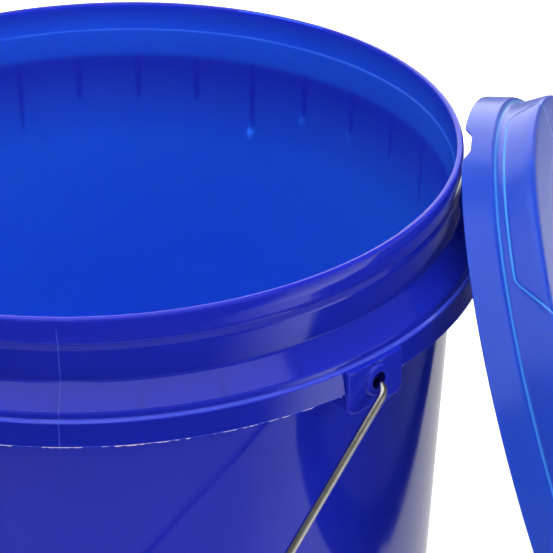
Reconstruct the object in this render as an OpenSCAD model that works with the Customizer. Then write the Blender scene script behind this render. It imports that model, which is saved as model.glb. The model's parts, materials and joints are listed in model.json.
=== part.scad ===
// Open plastic wash bucket with a steel wire bail, a grip on the bail,
// and its press-fit lid leaning against the rim.
// Origin: centre of the bucket's base. +Z up, the two ears on the X axis.

/* [Bucket] */
// Height from the floor to the top of the rim
height = 294; // [280:1:310]
// Outside radius of the rim's lip
rim_r = 150; // [148:0.5:152]
// Radius lost for each millimetre of height
taper = 0.0582; // [0.05:0.001:0.065]
// Wall thickness at the base
wall_t = 2.4; // [2:0.1:3]
// Thickness of the floor
floor_t = 2.6; // [2:0.1:4]
// Height of the foot ring under the floor
foot_h = 4; // [3:0.5:6]

/* [Collar] */
// Thickness of the lip at the top
lip_t = 3; // [2.6:0.1:3.2]
// Height of the lip's straight outer face
lip_h = 8.8; // [8:0.1:9.5]
// Depth of the collar's shoulder below the rim
shoulder_d = 26.2; // [25:0.1:27]
// Depth of the skirt's bottom edge below the rim
skirt_d = 46.7; // [45:0.1:48]
// How far the skirt stands out past the lip
skirt_out = 11.3; // [11:0.1:11.6]
// Number of stiffening gussets behind the skirt
gussets = 32; // [16:16:32]
// Thickness of a gusset
gusset_t = 1.8; // [1.4:0.1:2.4]

/* [Ears] */
// Width of the plate around the bail's hole
ear_w = 28.5; // [26:0.5:30]
// Depth of the ear plate's bottom edge below the rim
ear_d = 56; // [54:0.5:58]
// Radius of the hole for the bail
ear_hole_r = 3.4; // [3.2:0.1:3.6]
// Outside radius of the raised ring around the hole
ear_ring_r = 6.4; // [6:0.1:7]

/* [Bail] */
// Diameter of the wire
wire_d = 3.5; // [3.2:0.1:3.8]
// Half the distance between the bail's two legs
bail_half = 168; // [167.5:0.1:169]
// Bend radius of the bail's two big corners
bail_bend = 116; // [90:1:116]
// Angle between the hanging bail and straight down
bail_hang = 45; // [45:1:50]

/* [Grip] */
// Length of the grip
grip_l = 98; // [80:1:100]
// Largest radius of the grip
grip_r = 11.5; // [10:0.1:12]
// Number of finger rolls along the grip
grip_rolls = 5; // [3:1:7]

/* [Lid] */
// Radius of the lid's free edge
lid_r = 159; // [158.5:0.1:160]
// Height of the flared skirt
lid_skirt_h = 11.5; // [11:0.1:12]
// Height from the free edge to the top of the crown
lid_h = 28.4; // [28:0.1:29]
// Thickness of the lid
lid_t = 1.6; // [1.4:0.1:1.8]
// Depth of the centre panel below the crown
panel_drop = 8; // [6:0.5:10]
// Number of raised pads and of pry notches
lid_pads = 4; // [2:1:6]

/* [Lid at rest] */
// Tilt of the leaning lid away from vertical
lean = 21.4; // [20:0.1:23]
// Direction that the lid's top faces
lean_facing = 39.1; // [36:0.1:42]
// Direction of the lid's centre from the bucket's axis
lean_dir = 44; // [42:0.1:46]
// Distance of the lid's centre from the bucket's axis
lean_out = 207.8; // [207.6:0.1:215]
// How far the lid is turned about its own axis
lid_turn = 10.5; // [0:0.5:89]

/* [Hidden] */
$fn = 96;
bucket_blue = [0.04, 0.14, 0.82];
lid_blue = [0.16, 0.24, 0.85];

// Collar
wall_out = 0.4;                      // the wall's cone meets the rim this far outside the lip
inner_ledge_d = 13.2;                // depth of the small ledge inside the mouth
inner_ledge_r = rim_r - 3.5;
band_d = shoulder_d + 7.5;           // depth where the shoulder turns down
band_r = rim_r + 7.8;
ledge_d = band_d + 3;                // depth of the thin ledge on top of the skirt
skirt_t = 1.7;
skirt_r = rim_r + skirt_out;
rib_end_short = skirt_d - 0.7;       // where a gusset ends on the wall
rib_end_long = 60;
rib_step = 360 / gussets;

// Base
corner_r = 6;                        // radius inside, between wall and floor
heel_r = 3;                          // radius outside, at the foot
foot_w = 8;
base_ribs = 8;
base_rib_t = 2.4;
hub_r = 16;

// Ears
ear_r = skirt_r + 1.4;
ear_t = 2.7;
ear_top_d = ledge_d + 0.3;
ear_hole_d = 44.8;
ear_ring_out = 1.5;
ear_web_t = 2;

// Bail
wire_r = wire_d / 2;
axis_d = ear_hole_d + ear_hole_r - wire_r - 0.15;
axis_z = height - axis_d;
exit_bend = 4.5;                     // bend where the leg turns into the ear
tail_bend = 3;
tail_x = rim_r + 4;                  // the hooked tail turns inside the ear, behind the plate
tail_l = 3.2;
grip_gap = 0.4;
bail_h = (wall_r(axis_d) + (grip_r + grip_gap) / cos(atan(taper)))
    / (sin(bail_hang) + taper * cos(bail_hang));
bail_leg = bail_h - bail_bend;
bail_mid = bail_half - bail_bend;

// Lid
crown_r = rim_r + 1.9;
plug_r = rim_r - 4.2;
panel_z = lid_h - panel_drop;
crown_round = 2;
pad_h = 0.7;
pad_low = 15;
pad_half_low = 52;
pad_half_high = 64;
notch_deep = 5;
notch_half = 15;
notch_offset = -7;                   // notch centre from pad centre, in degrees
step_r = 98;                         // the centre panel rises a little inside this radius
step_h = 1.2;
lid_ribs = 24;                       // under the flat ring, between the panel's wall and the plug
lid_rib_t = 1.4;
well_r = 128;                        // the flat ring round the top ends here and the panel drops
plug_low = 15.8;                     // how far above the free edge the plug ends
lock_low = 1.2;                      // the inner wall that grips the lip ends this far above the free edge
lid_centre_z = lid_r * cos(lean);
gasket_h = 2.6;
gasket_top = lid_h - lid_t;

function wall_r(d) = rim_r + wall_out - taper * d;
function inner_r(z) = wall_r(height) - wall_t
    + (inner_ledge_r - wall_r(height) + wall_t) * z / (height - inner_ledge_d);
function arc(x, y, r, from, to, steps = 5) =
    [for (i = [0 : steps]) let (a = from + (to - from) * i / steps) [x + r * cos(a), y + r * sin(a)]];

// A profile given as radius and depth below the rim, turned into radius and height
function below_rim(points) = [for (p = points) [p[0], height - p[1]]];

// Half section of the bucket, from the underside round the outside and back inside
bucket_section = concat(
    [[0, foot_h], [wall_r(height) - heel_r - foot_w - 1, foot_h]],
    [[wall_r(height) - heel_r - foot_w, 0]],
    arc(wall_r(height) - heel_r, heel_r, heel_r, -90, 0),
    below_rim([
        [wall_r(28.6), 28.6],
        [band_r - 1.5, band_d + 1.3],
        [band_r - 0.9, ledge_d + 1.7],
        [band_r + 0.6, ledge_d + 2.2],
        [skirt_r - skirt_t, skirt_d],
        [skirt_r, skirt_d],
        [skirt_r - 1.1, ledge_d + 0.5],
        [skirt_r - 1.5, ledge_d + 0.1],
        [band_r + 0.8, ledge_d - 0.1],
        [band_r + 0.5, band_d + 0.9],
        [band_r + 0.1, band_d + 0.2],
        [band_r - 0.6, band_d - 0.4],
        [wall_r(shoulder_d) + 0.7, shoulder_d + 0.6],
        [wall_r(shoulder_d) + 0.05, shoulder_d - 0.3],
        [rim_r - 0.5, lip_h + 5.2],
        [rim_r - 0.6, lip_h + 4.4],
        [rim_r - 1.2, lip_h + 2.5],
        [rim_r - 1.1, lip_h + 1.6],
        [rim_r - 0.3, lip_h + 0.5],
        [rim_r, lip_h]
    ]),
    arc(rim_r - 1.3, height - 1.3, 1.3, 0, 90),
    arc(rim_r - lip_t + 1, height - 1, 1, 90, 180),
    below_rim([[rim_r - lip_t - 0.1, inner_ledge_d - 0.7], [inner_ledge_r, inner_ledge_d]]),
    arc(inner_r(foot_h + floor_t + corner_r) - corner_r, foot_h + floor_t + corner_r, corner_r, 0, -90),
    [[0, foot_h + floor_t]]
);

module gusset(end_d) {
    rotate([90, 0, 0])
        translate([0, 0, -gusset_t / 2])
            linear_extrude(gusset_t)
                polygon(below_rim([
                    [wall_r(end_d) - 0.9, 27.6],
                    [band_r - 1, band_d + 0.9],
                    [skirt_r - 1, skirt_d - 1.2],
                    [skirt_r - 2.4, skirt_d - 0.7],
                    [wall_r(end_d) - 0.9, end_d]
                ]));
}

// Outline of the ear plate, looking along X: square at the top, round corners below
module ear_outline(half, top, low, round_r) {
    polygon(concat(
        [[-half, top], [half, top]],
        arc(half - round_r, low + round_r, round_r, 0, -90),
        arc(-half + round_r, low + round_r, round_r, -90, -180)
    ));
}

module ear() {
    intersection() {
        difference() {
            cylinder(h = height, r = ear_r, $fn = 180);
            translate([0, 0, -1]) cylinder(h = height + 2, r = ear_r - ear_t, $fn = 180);
        }
        translate([rim_r, 0, 0])
            rotate([90, 0, 90])
                linear_extrude(20)
                    ear_outline(ear_w / 2, height - ear_top_d, height - ear_d, 4);
    }
    translate([ear_r - ear_t + 0.4, 0, height - ear_hole_d])
        rotate([0, 90, 0])
            cylinder(h = ear_t - 0.4 + ear_ring_out, r = ear_ring_r, $fn = 48);
    for (side = [-1, 1])
        translate([0, side * (ear_w / 2 - 2.6) + ear_web_t / 2, 0])
            rotate([90, 0, 0])
                linear_extrude(ear_web_t)
                    polygon(below_rim([
                        [wall_r(ear_d) - 1.2, 28.4],
                        [band_r - 1, band_d + 0.9],
                        [ear_r - ear_t + 0.6, skirt_d - 4],
                        [ear_r - ear_t + 0.6, ear_d - 1.5],
                        [wall_r(ear_d) - 1.2, ear_d - 1.5]
                    ]));
}

// The hole goes through the ear's ring and plate and through the collar's skirt behind it
module ear_hole() {
    translate([rim_r + 5, 0, height - ear_hole_d])
        rotate([0, 90, 0])
            cylinder(h = 20, r = ear_hole_r, $fn = 48);
}

module bucket() {
    color(bucket_blue) {
        difference() {
            union() {
                rotate_extrude($fn = 180) polygon(bucket_section);
                for (i = [0 : gussets - 1])
                    if (i % (gussets / 2) != 0)
                        rotate([0, 0, i * rib_step])
                            gusset((i + 2) % 4 == 0 ? rib_end_long : rib_end_short);
                for (i = [0 : base_ribs - 1])
                    rotate([0, 0, (i + 0.5) * 360 / base_ribs])
                        translate([hub_r - 2, -base_rib_t / 2, 0])
                            cube([wall_r(height) - heel_r - foot_w - hub_r + 3, base_rib_t, foot_h + 0.5]);
                cylinder(h = foot_h + 0.5, r = hub_r);
                ear();
                mirror([1, 0, 0]) ear();
            }
            ear_hole();
            mirror([1, 0, 0]) ear_hole();
        }
    }
}

// A quarter bend of the wire, from the X direction to the -Z direction, about the origin
module wire_bend(r) {
    rotate([90, 0, 0])
        rotate_extrude(angle = 90, $fn = 96)
            translate([r, 0]) circle(r = wire_r, $fn = 32);
}

// One leg of the bail in its own plane: the tail inside the ear, the pin, the leg and the big bend
module bail_side() {
    translate([tail_x, 0, tail_bend]) cylinder(h = tail_l, r = wire_r, $fn = 32);
    translate([tail_x + tail_bend, 0, tail_bend]) rotate([0, 180, 0]) wire_bend(tail_bend);
    translate([tail_x + tail_bend, 0, 0])
        rotate([0, 90, 0])
            cylinder(h = bail_half - exit_bend - tail_x - tail_bend, r = wire_r, $fn = 32);
    translate([bail_half - exit_bend, 0, -exit_bend]) wire_bend(exit_bend);
    translate([bail_half, 0, -bail_leg]) cylinder(h = bail_leg - exit_bend, r = wire_r, $fn = 32);
    translate([bail_mid, 0, -bail_leg]) mirror([0, 0, 1]) wire_bend(bail_bend);
}

module bail() {
    color("silver")
        translate([0, 0, axis_z])
            rotate([-bail_hang, 0, 0]) {
                bail_side();
                mirror([1, 0, 0]) bail_side();
                translate([-bail_mid, 0, -bail_h])
                    rotate([0, 90, 0])
                        cylinder(h = 2 * bail_mid, r = wire_r, $fn = 32);
            }
}

// Half section of the grip: finger rolls between two plain ends
roll_l = (grip_l - 8) / grip_rolls;
grip_section = concat(
    [[wire_r + 0.07, 0], [grip_r - 1.5, 0], [grip_r - 0.6, 0.4], [grip_r, 1.5], [grip_r, 3.4]],
    [for (i = [0 : grip_rolls - 1]) for (s = [0 : 5])
        [grip_r - 1.5 + 0.8 * sin(180 * s / 5), 4 + i * roll_l + 0.5 + (roll_l - 1) * s / 5]],
    [[grip_r, grip_l - 3.4], [grip_r, grip_l - 1.5], [grip_r - 0.6, grip_l - 0.4]],
    [[grip_r - 1.5, grip_l], [wire_r + 0.07, grip_l]]
);

module grip() {
    color(bucket_blue)
        translate([0, 0, axis_z])
            rotate([-bail_hang, 0, 0])
                translate([-grip_l / 2, 0, -bail_h])
                    rotate([0, 90, 0])
                        rotate_extrude($fn = 64) polygon(grip_section);
}

// Half section of the lid, free edge at height 0, from the edge round the top and back underneath
lid_section = concat(
    [[lid_r, 0.4], [lid_r - 3.6, lid_skirt_h - 0.5], [lid_r - 4, lid_skirt_h + 0.1]],
    [[lid_r - 4.8, lid_skirt_h + 0.5], [crown_r + 0.9, lid_skirt_h + 0.9], [crown_r, lid_skirt_h + 1.6]],
    arc(crown_r - 0.3 - crown_round, lid_h - crown_round, crown_round, 0, 90),
    arc(well_r + crown_round, lid_h - crown_round, crown_round, 90, 180),
    arc(well_r - 1.5, panel_z + 1.5, 1.5, 0, -90, 4),
    [[step_r + 1.5, panel_z], [step_r, panel_z + step_h], [0, panel_z + step_h]],
    [[0, panel_z + step_h - lid_t], [step_r - 0.8, panel_z + step_h - lid_t]],
    [[step_r + 0.8, panel_z - lid_t], [well_r + lid_t - 1, panel_z - lid_t]],
    [[well_r + lid_t, panel_z - lid_t + 1], [well_r + lid_t, lid_h - lid_t]],
    [[plug_r - lid_t, lid_h - lid_t], [plug_r - lid_t, plug_low + 0.5], [plug_r - lid_t + 0.5, plug_low]],
    [[plug_r - 0.6, plug_low], [plug_r, plug_low + 1]],
    [[plug_r, lid_h - lid_t], [crown_r - lid_t, lid_h - lid_t]],
    [[crown_r - lid_t, 15], [crown_r - lid_t - 1, 13.6], [crown_r - lid_t - 0.6, 12.6]],
    [[crown_r - lid_t, lid_skirt_h], [crown_r - lid_t + 0.2, lock_low + 0.3], [crown_r - 1.1, lock_low]],
    [[crown_r - 0.3, lock_low], [crown_r, lock_low + 0.4], [crown_r + 0.1, lid_skirt_h - 2]],
    [[crown_r + 0.8, lid_skirt_h - 1.4], [lid_r - 5.4, lid_skirt_h - 1.4], [lid_r - lid_t, 0.3], [lid_r - 1, 0]]
);

// A raised pad on the crown's side, wider at the top
module lid_pad() {
    intersection() {
        difference() {
            cylinder(h = lid_h - crown_round, r = crown_r + pad_h, $fn = 180);
            translate([0, 0, -1]) cylinder(h = lid_h, r = crown_r - 1, $fn = 180);
        }
        rotate([90, 0, 90])
            linear_extrude(lid_r)
                polygon(concat(
                    [[-pad_half_high, lid_h], [pad_half_high, lid_h]],
                    arc(pad_half_low - 3, pad_low + 4, 4, -20, -90, 3),
                    arc(-pad_half_low + 3, pad_low + 4, 4, -90, -160, 3)
                ));
    }
}

module lid_notch() {
    rotate([90, 0, 90])
        translate([0, 0, crown_r + 1])
            linear_extrude(20)
                polygon([
                    [-notch_half, -1], [-notch_half, 0], [-notch_half + 7, notch_deep],
                    [notch_half - 7, notch_deep], [notch_half, 0], [notch_half, -1]
                ]);
}

// Puts a piece drawn in the lid's own frame where the lid leans on the rim
module at_lid() {
    translate([lean_out * cos(lean_dir), lean_out * sin(lean_dir), lid_centre_z])
        rotate([0, 90 - lean, lean_facing])
            rotate([0, 0, lid_turn])
                children();
}

module lid() {
    color(lid_blue)
        at_lid()
            difference() {
                union() {
                    rotate_extrude($fn = 180) polygon(lid_section);
                    for (i = [0 : lid_pads - 1])
                        rotate([0, 0, i * 360 / lid_pads]) lid_pad();
                    for (i = [0 : lid_ribs - 1])
                        rotate([0, 0, (i + 0.5) * 360 / lid_ribs])
                            translate([well_r + lid_t - 0.4, -lid_rib_t / 2, panel_z - lid_t])
                                cube([plug_r - well_r - 2 * lid_t + 0.8, lid_rib_t, lid_h - panel_z]);
                }
                for (i = [0 : lid_pads - 1])
                    rotate([0, 0, i * 360 / lid_pads + notch_offset]) lid_notch();
            }
}

module lid_gasket() {
    color("gainsboro")
        at_lid()
            translate([0, 0, gasket_top - gasket_h])
                rotate_extrude($fn = 180)
                    polygon([
                        [plug_r + 0.5, 0.4], [plug_r + 0.9, 0], [crown_r - lid_t - 0.7, 0],
                        [crown_r - lid_t - 0.3, 0.4], [crown_r - lid_t - 0.3, gasket_h],
                        [plug_r + 0.5, gasket_h]
                    ]);
}

bucket();
bail();
grip();
lid();
lid_gasket();
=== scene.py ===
# %% [markdown]
# A plastic wash bucket with a steel wire handle, and its lid leaning on the rim.
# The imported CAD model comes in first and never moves. It says where each part sits and
# what turns about what, and the pieces made below stand in for its plainer shapes.

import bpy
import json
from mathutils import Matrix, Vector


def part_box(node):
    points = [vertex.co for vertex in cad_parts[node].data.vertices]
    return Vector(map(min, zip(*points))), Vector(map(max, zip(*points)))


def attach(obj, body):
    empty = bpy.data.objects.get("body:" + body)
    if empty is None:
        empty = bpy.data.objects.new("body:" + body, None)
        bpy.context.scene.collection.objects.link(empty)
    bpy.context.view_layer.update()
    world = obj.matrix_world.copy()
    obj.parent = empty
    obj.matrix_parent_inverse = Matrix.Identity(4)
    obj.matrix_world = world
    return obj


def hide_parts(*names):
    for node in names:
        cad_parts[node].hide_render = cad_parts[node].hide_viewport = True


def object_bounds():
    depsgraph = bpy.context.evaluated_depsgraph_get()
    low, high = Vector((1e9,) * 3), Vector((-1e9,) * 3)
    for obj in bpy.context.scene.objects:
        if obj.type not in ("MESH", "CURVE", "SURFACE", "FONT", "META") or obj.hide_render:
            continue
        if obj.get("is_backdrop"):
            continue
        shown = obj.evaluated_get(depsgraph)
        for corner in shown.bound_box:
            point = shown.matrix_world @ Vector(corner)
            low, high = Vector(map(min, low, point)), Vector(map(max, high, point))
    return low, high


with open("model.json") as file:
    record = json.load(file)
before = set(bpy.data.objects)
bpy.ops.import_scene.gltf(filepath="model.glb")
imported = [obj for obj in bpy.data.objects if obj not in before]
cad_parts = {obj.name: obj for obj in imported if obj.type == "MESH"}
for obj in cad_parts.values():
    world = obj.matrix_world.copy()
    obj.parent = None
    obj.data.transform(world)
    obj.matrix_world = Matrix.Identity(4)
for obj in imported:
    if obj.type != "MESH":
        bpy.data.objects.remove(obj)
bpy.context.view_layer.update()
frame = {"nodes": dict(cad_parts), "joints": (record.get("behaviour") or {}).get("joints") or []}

# %% [markdown]
# Blender works in metres, and a bucket maker draws in millimetres. One factor turns one into
# the other. The sizes that the frame can give are read from it: the bucket's height from its
# box, and the handle's pivots from the joints.

# %% Units and main sizes
import json
import math

import bmesh
import bpy
import numpy as np
from mathutils import Matrix, Vector

MM = 0.001
joints = {j["name"]: j for j in frame["joints"]}
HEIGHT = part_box("bucket")[1].z / MM
PIVOT = Vector(joints["bail_swing"]["pos_m"]) / MM
GRIP_CENTRE = Vector(joints["grip_spin"]["pos_m"]) / MM
RIM_R = 150.0
TAPER = 0.0582
WALL_T = 2.4


def wall_r(depth):
    """Outside radius of the wall at a depth below the rim, in mm."""
    return RIM_R + 0.4 - TAPER * depth


print("bucket", round(HEIGHT, 1), "mm high,", round(2 * wall_r(HEIGHT), 1), "mm across its foot")

# %% [markdown]
# Colours are written as the hex values that a paint program shows, which are sRGB. Shaders
# calculate with light, so one function turns each value to linear. A second small function
# adds a shader node, sets it up and links it, so every material below reads as a list.


# %% Colour and node helpers
def linear(hex_colour):
    """An sRGB hex colour such as "#1a2b3c" as a linear RGBA tuple."""
    parts = [int(hex_colour[i : i + 2], 16) / 255 for i in (1, 3, 5)]
    return tuple(c / 12.92 if c <= 0.04045 else ((c + 0.055) / 1.055) ** 2.4 for c in parts) + (1.0,)


def add(tree, kind, settings=None, inputs=None):
    """Adds a node. settings are its properties; each input is a value, or the output that feeds it."""
    made = tree.nodes.new(kind)
    for name, value in (settings or {}).items():
        setattr(made, name, value)
    for name, value in (inputs or {}).items():
        if isinstance(value, bpy.types.NodeSocket):
            tree.links.new(value, made.inputs[name])
        else:
            made.inputs[name].default_value = value
    return made


def ramp(tree, value, low, high, start, end):
    """A value that changes smoothly from start to end while another goes from low to high."""
    return add(tree, "ShaderNodeMapRange", {"interpolation_type": "SMOOTHSTEP"}, {
        "Value": value, "From Min": low, "From Max": high, "To Min": start, "To Max": end,
    }).outputs["Result"]


def new_material(name):
    """An empty node material: (material, its tree, its surface input)."""
    material = bpy.data.materials.new(name)
    material.use_nodes = True
    tree = material.node_tree
    tree.nodes.clear()
    output = tree.nodes.new("ShaderNodeOutputMaterial")
    return material, tree, output.inputs["Surface"]


print("deep blue in linear light:", tuple(round(c, 3) for c in linear("#1428b8")))

# %% [markdown]
# The bucket is injection-moulded polypropylene, coloured through with blue pigment. The
# steel mould is polished, so the skin is glossy, with slow waves where the plastic shrank
# and fine rub marks from stacking. Polypropylene lets some light through, and subsurface
# scattering gives that, since light really walks about inside the 2.4 mm wall.
# Scattering doesn't reach across the gap behind the collar. So the dark band of the collar,
# the gussets' lines, the bright sink spots, the glow in thin edges and the pads' outline are
# painted shade and painted glow: values kept on the mesh, which pick a darker or a lighter
# pigment. The inside's paler blue is a painted glow as well. That is a shortcut, and those
# marks stay as they are when the lights move.


# %% Material: moulded polypropylene
def moulded_plastic(
        name, pigment, streak, gloss, scatter_mm, share=(0.25, 0.45, 1.0), wave_mm=55, rub=0.16,
        shaded=None, outlined=False):
    """A pigmented, slightly translucent moulded plastic. gloss is its roughness in clean places."""
    material, tree, surface = new_material(name)
    place = add(tree, "ShaderNodeTexCoord").outputs["Object"]
    # Pigment is never mixed quite evenly: streaks about 40 mm long, a few per cent lighter.
    swirl = add(tree, "ShaderNodeTexNoise", None, {
        "Vector": place, "Scale": 1 / (40 * MM), "Detail": 4.0, "Distortion": 0.8})
    colour = add(tree, "ShaderNodeMix", {"data_type": "RGBA"}, {
        0: swirl.outputs["Fac"], 6: linear(pigment), 7: linear(streak)})
    pigmented = colour.outputs[2]
    if shaded:
        # Painted shade and painted glow: the mesh says where the double wall behind would keep light back,
        # and where a little more would come through.
        behind = add(tree, "ShaderNodeAttribute", {"attribute_name": "painted_shade_and_glow"}).outputs["Fac"]
        if outlined:
            # The mesh carries the distance in from the pads' outline, so the painted glow along it stays 1.6
            # mm wide.
            inset = add(tree, "ShaderNodeAttribute", {"attribute_name": "pad_inset"}).outputs["Fac"]
            away = add(tree, "ShaderNodeMath", {"operation": "ABSOLUTE"}, {0: inset})
            line = ramp(tree, away.outputs["Value"], 0.0, 0.8, 0.75, 0.0)
            behind = add(tree, "ShaderNodeMath", {"operation": "SUBTRACT"}, {
                0: behind, 1: line}).outputs["Value"]
        less = add(tree, "ShaderNodeMapRange", None, {"Value": behind, "From Min": 0.0, "From Max": 1.0})
        more = add(tree, "ShaderNodeMapRange", None, {"Value": behind, "From Min": 0.0, "From Max": -1.0})
        darker = add(tree, "ShaderNodeMix", {"data_type": "RGBA"}, {
            0: less.outputs["Result"], 6: pigmented, 7: linear(shaded[0])})
        lighter = add(tree, "ShaderNodeMix", {"data_type": "RGBA"}, {
            0: more.outputs["Result"], 6: darker.outputs[2], 7: linear(shaded[1])})
        pigmented = lighter.outputs[2]
    # Shrink waves, a few centimetres long and only some hundredths of a millimetre high.
    waves = add(tree, "ShaderNodeTexNoise", None, {
        "Vector": place, "Scale": 1 / (wave_mm * MM), "Detail": 1.0})
    # The mould's polish leaves a texture of about 0.3 mm, drawn at 0.9 mm so that it shows.
    peel = add(tree, "ShaderNodeTexNoise", None, {"Vector": place, "Scale": 1 / (0.9 * MM), "Detail": 2.0})
    # Rub marks run up and down, from buckets being stacked: 0.6 mm wide and some 40 mm long.
    stretched = add(tree, "ShaderNodeMapping", None, {
        "Vector": place, "Scale": (1 / (0.6 * MM), 1 / (0.6 * MM), 1 / (40 * MM))})
    marks = add(tree, "ShaderNodeTexNoise", None, {
        "Vector": stretched.outputs["Vector"], "Scale": 1.0, "Detail": 2.0})
    scuffed = add(tree, "ShaderNodeMapRange", None, {
        "Value": marks.outputs["Fac"], "From Min": 0.66, "From Max": 0.8, "To Min": 0.0, "To Max": rub})
    hazed = add(tree, "ShaderNodeMapRange", None, {
        "Value": swirl.outputs["Fac"], "From Min": 0.35, "From Max": 0.7, "To Min": gloss,
        "To Max": gloss + 0.05})
    rough = add(tree, "ShaderNodeMath", {"operation": "ADD"}, {
        0: hazed.outputs["Result"], 1: scuffed.outputs["Result"]})
    wavy = add(tree, "ShaderNodeBump", None, {
        "Height": waves.outputs["Fac"], "Strength": 0.5, "Distance": 0.25 * MM})
    skin = add(tree, "ShaderNodeBump", None, {
        "Height": peel.outputs["Fac"], "Strength": 0.25, "Distance": 0.006 * MM,
        "Normal": wavy.outputs["Normal"]})
    dented = add(tree, "ShaderNodeBump", {"invert": True}, {
        "Height": scuffed.outputs["Result"], "Strength": 0.3, "Distance": 0.02 * MM,
        "Normal": skin.outputs["Normal"]})
    plastic = add(tree, "ShaderNodeBsdfPrincipled", {"subsurface_method": "RANDOM_WALK"}, {
        "Base Color": pigmented,
        "Roughness": rough.outputs["Value"],
        "Normal": dented.outputs["Normal"],
        "IOR": 1.49,
        "Subsurface Weight": 1.0,
        "Subsurface Radius": share,
        "Subsurface Scale": scatter_mm * MM,
    })
    tree.links.new(plastic.outputs["BSDF"], surface)
    return material


# Outside: a deep blue with sharp highlights, and a darker and a lighter blue for painted shade and painted
# glow.
polypropylene = moulded_plastic(
    "polypropylene_moulded_glossy", "#1420a0", "#1824aa", 0.07, 1.2, shaded=("#0a146c", "#6478e6"))
# Inside: a paler blue, painted as a glow for the light from outside that comes through the wall, with longer
# scattering.
polypropylene_inside_painted_glow = moulded_plastic(
    "polypropylene_moulded_painted_glow_inside", "#2361cd", "#2967d5", 0.12, 6.0, (0.1, 0.5, 1.0),
    shaded=("#222eb4", "#48b4ff"))
print("materials", polypropylene.name, "and", polypropylene_inside_painted_glow.name)

# %% [markdown]
# Most of this object is round about an axis, so its pieces are turned like work on a
# lathe: a half section, drawn as radius and height, is carried round in many small steps.
# Real moulded edges are never sharp. The section is drawn with plain corners, each with
# its own radius, and a helper swaps every corner for a small curve that catches the light.


# %% Helpers: rounded sections, turned meshes, pieces
def rounded(corners, steps=4):
    """Points along a line of corners (x, y, radius), with each corner with a radius cut into a curve."""
    line = []
    for i, (x, y, radius) in enumerate(corners):
        here = np.array([x, y], float)
        if radius == 0 or i in (0, len(corners) - 1):
            line.append(here)
            continue
        before = np.array(corners[i - 1][:2], float) - here
        after = np.array(corners[i + 1][:2], float) - here
        l_before, l_after = np.linalg.norm(before), np.linalg.norm(after)
        bend = math.pi - math.acos(max(-1, min(1, before @ after / l_before / l_after)))
        reach = min(radius * math.tan(bend / 2), 0.46 * l_before, 0.46 * l_after)
        start, end = here + before / l_before * reach, here + after / l_after * reach
        for k in range(steps + 1):
            t = k / steps
            line.append((1 - t) ** 2 * start + 2 * t * (1 - t) * here + t * t * end)
    return np.array(line)


def divided(line, longest):
    """The same line with stretches over longest cut into equal parts."""
    out = [line[0]]
    for a, b in zip(line[:-1], line[1:]):
        parts = max(1, math.ceil(np.linalg.norm(b - a) / longest))
        out += [a + (b - a) * k / parts for k in range(1, parts + 1)]
    return np.array(out)


def turned(section, turns, shape=None, closed=True):
    """Vertices (mm) and faces of a section (radius, height) carried round Z; shape may move them."""
    angles = np.arange(turns) * 2 * math.pi / turns
    r = np.repeat(section[:, 0][:, None], turns, 1)
    z = np.repeat(section[:, 1][:, None], turns, 1)
    if shape:
        r, z = shape(r, z, angles[None, :])
    points = np.stack([r * np.cos(angles), r * np.sin(angles), z], -1).reshape(-1, 3)
    rows = len(section)
    index = np.arange(rows * turns).reshape(rows, turns)
    poles = [i for i in (0, rows - 1) if section[i, 0] < 1e-6]
    for i in poles:
        index[i, :] = index[i, 0]
    faces = []
    last = rows if closed and not poles else rows - 1
    for i in range(last):
        a, b = index[i], index[(i + 1) % rows]
        a2, b2 = np.roll(a, -1), np.roll(b, -1)
        for quad in zip(a, a2, b2, b):
            ring = list(dict.fromkeys(int(v) for v in quad))
            if len(ring) > 2:
                faces.append(ring)
    return points, faces


def piece(name, points, faces, body, material, into=None, weighted=True):
    """A named mesh piece in the frame, riding on a CAD body. Points are in mm; into is a matrix in mm."""
    used = sorted({v for f in faces for v in f})
    renumber = {v: i for i, v in enumerate(used)}
    co = np.asarray(points, float)[used]
    if into is not None:
        co = co @ np.array(into)[:3, :3].T + np.array(into)[:3, 3]
    mesh = bpy.data.meshes.new(name)
    mesh.from_pydata(co * MM, [], [[renumber[v] for v in f] for f in faces])
    mesh.validate()
    # Every shell's faces must point outwards, or light walks the wrong way through it.
    outward = bmesh.new()
    outward.from_mesh(mesh)
    bmesh.ops.recalc_face_normals(outward, faces=outward.faces)
    if outward.calc_volume(signed=True) < 0:
        bmesh.ops.reverse_faces(outward, faces=outward.faces)
    outward.to_mesh(mesh)
    outward.free()
    mesh.shade_smooth()
    made = bpy.data.objects.new(name, mesh)
    bpy.context.scene.collection.objects.link(made)
    mesh.materials.append(material)
    if weighted:
        made.modifiers.new("even shading", "WEIGHTED_NORMAL").keep_sharp = True
    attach(made, body)
    print(name, len(mesh.vertices), "points,", len(mesh.polygons), "faces")
    return made


def blend01(x, low, high):
    """0 below low, 1 above high, and a smooth rise between."""
    t = np.clip((x - low) / (high - low), 0, 1)
    return t * t * (3 - 2 * t)


# %% [markdown]
# The tub is one moulding: floor, tapered wall, and a collar near the top that stiffens the
# mouth and gives hands something to lift. Looking down from the rim there is the lip that
# the lid clips over, a thin undercut, a neck, a sloping shoulder, a small ledge and a
# skirt. A lathe section holds all of them. Behind the skirt stand thin gussets, and where
# they join the wall the plastic shrinks inwards and leaves long shallow dents inside.

# %% The tub
GUSSETS = 32
LONG_GUSSETS = range(2, GUSSETS, 4)
SKIRT_R = RIM_R + 11.3
TURNS = 16 * GUSSETS
# The two ears stand where two of the evenly spaced gussets would be.
GUSSETS_MADE = [i for i in range(GUSSETS) if i % (GUSSETS // 2)]
INNER_R = 147.0
SHOULDER_R = 155.0
WARP = 0.12


def off_gusset(angle, i):
    """Angle from gusset number i, between -pi and pi."""
    return (angle - i * 2 * math.pi / GUSSETS + math.pi) % (2 * math.pi) - math.pi


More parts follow.
